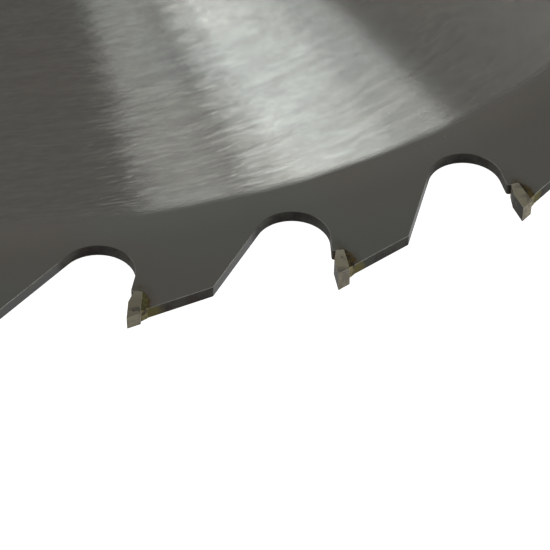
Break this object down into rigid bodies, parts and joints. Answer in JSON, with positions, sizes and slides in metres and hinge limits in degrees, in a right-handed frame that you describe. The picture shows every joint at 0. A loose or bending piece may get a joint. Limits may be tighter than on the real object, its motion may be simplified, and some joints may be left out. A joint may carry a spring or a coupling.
{
  "type": "circular saw blade",
  "caption": "Flat toothed steel disc with a carbide tip brazed to each hooked tooth, two bevelled to one flat, round gullets, radial expansion slots and a plain round arbor bore.",
  "frame": {"origin": "centre of the arbor bore, midway through the plate's thickness", "axes": "+Z along the bore axis, out of the face that the picture shows, towards which the blade turns clockwise; +X through the first tip's cutting corner"},
  "size_m": [0.35, 0.348, 0.0032],
  "materials": {
    "plate_steel": "matte rim, with a brighter zone ground in circles inside it",
    "carbide": "dull ground sintered carbide",
    "braze": "tarnished filler metal with heat stain"
  },
  "bodies": {
    "root": {"saw_plate": "plate_steel", "carbide_tip_01": "carbide", "carbide_tip_02": "carbide", "carbide_tip_03": "carbide", "carbide_tip_04": "carbide", "carbide_tip_05": "carbide", "carbide_tip_06": "carbide", "carbide_tip_07": "carbide", "carbide_tip_08": "carbide", "carbide_tip_09": "carbide", "carbide_tip_10": "carbide", "carbide_tip_11": "carbide", "carbide_tip_12": "carbide", "carbide_tip_13": "carbide", "carbide_tip_14": "carbide", "carbide_tip_15": "carbide", "carbide_tip_16": "carbide", "carbide_tip_17": "carbide", "carbide_tip_18": "carbide", "carbide_tip_19": "carbide", "carbide_tip_20": "carbide", "carbide_tip_21": "carbide", "carbide_tip_22": "carbide", "carbide_tip_23": "carbide", "carbide_tip_24": "carbide", "carbide_tip_25": "carbide", "carbide_tip_26": "carbide", "carbide_tip_27": "carbide", "carbide_tip_28": "carbide", "carbide_tip_29": "carbide", "carbide_tip_30": "carbide", "braze_joints": "braze"}
  },
  "joints": []
}
